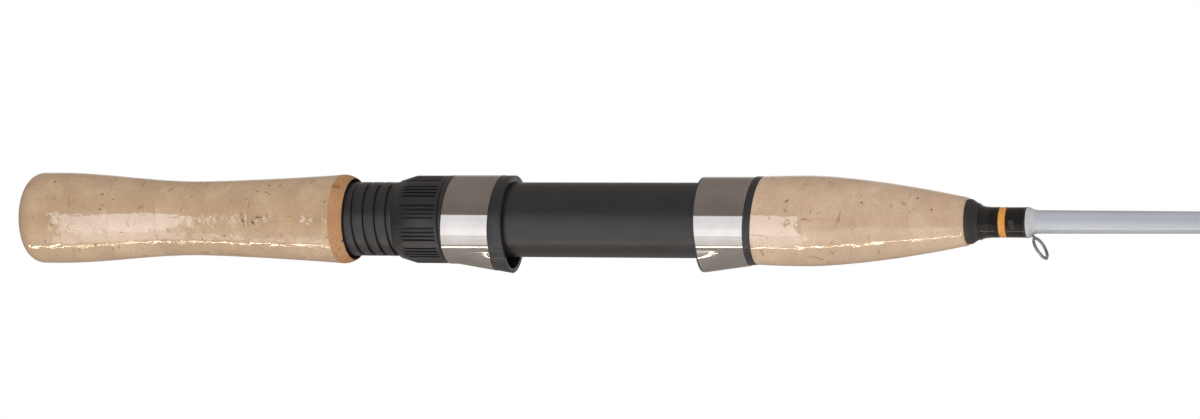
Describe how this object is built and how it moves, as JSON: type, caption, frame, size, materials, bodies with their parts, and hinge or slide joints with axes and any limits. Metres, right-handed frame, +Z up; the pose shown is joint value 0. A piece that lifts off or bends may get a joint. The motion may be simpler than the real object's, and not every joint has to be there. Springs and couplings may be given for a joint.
{
  "type": "ice fishing rod",
  "caption": "Short spinning rod for ice fishing: cork grips, screw-down reel seat with a sliding hood, solid tapered blank, ring guides and a tip top.",
  "frame": {"origin": "centre of the flat butt face, on the rod's axis", "axes": "+X along the rod towards the tip, +Z up in use, with the reel, hook keeper and guides on the -Z side"},
  "size_m": [0.762, 0.0244, 0.0332],
  "materials": {
    "cork": "natural cork under a clear shrink film",
    "arbor": "plain turned filler ring",
    "seat_black": "satin black moulding",
    "hood_steel": "polished stainless sheet",
    "blank_grey": "light grey gloss lacquer on solid glass fibre",
    "check_black": "satin black",
    "thread_black": "fine black thread under clear coat",
    "thread_gold": "gold thread under clear coat",
    "clear_coat": "clear gloss coat",
    "guide_steel": "dark polished wire",
    "ceramic": "dark polished ceramic"
  },
  "bodies": {
    "rod": {"rear_cork_1": "cork", "rear_cork_2": "cork", "rear_cork_3": "cork", "rear_cork_4": "cork", "rear_cork_5": "cork", "rear_cork_6": "cork", "rear_cork_7": "cork", "fore_cork_1": "cork", "fore_cork_2": "cork", "fore_cork_3": "cork", "fore_cork_4": "cork", "seat_arbor_1": "arbor", "seat_arbor_2": "arbor", "seat_arbor_3": "arbor", "blank": "blank_grey", "reel_seat": "seat_black", "fixed_hood_band": "hood_steel", "winding_check": "check_black", "butt_winding_1": "thread_black", "butt_winding_2": "thread_black", "butt_trim_band": "thread_gold", "butt_winding_coat": "clear_coat", "hook_keeper": "guide_steel", "guide_frame_1": "guide_steel", "guide_frame_2": "guide_steel", "guide_frame_3": "guide_steel", "guide_frame_4": "guide_steel", "guide_ring_1": "ceramic", "guide_ring_2": "ceramic", "guide_ring_3": "ceramic", "guide_ring_4": "ceramic", "guide_winding_1": "thread_black", "guide_winding_2": "thread_black", "guide_winding_3": "thread_black", "guide_winding_4": "thread_black", "guide_winding_5": "thread_black", "tip_top": "guide_steel", "tip_ring": "ceramic", "tip_winding": "thread_black"},
    "sliding_hood": {"slide_hood_liner": "seat_black", "slide_hood_band": "hood_steel"},
    "nut": {"lock_nut": "seat_black"}
  },
  "joints": [
    {"name": "hood_slide", "type": "slide", "parent": "rod", "child": "sliding_hood", "axis": [1, 0, 0], "range_m": [-0.013, 0.0098]},
    {"name": "nut_turn", "type": "hinge", "parent": "sliding_hood", "child": "nut", "pos_m": [0.114, 0, 0], "axis": [1, 0, 0], "range_deg": [-1440, 1080]}
  ],
  "couplings": [
    {"joint": "hood_slide", "follows": "nut_turn", "m_per_rad": 0.0005093}
  ]
}
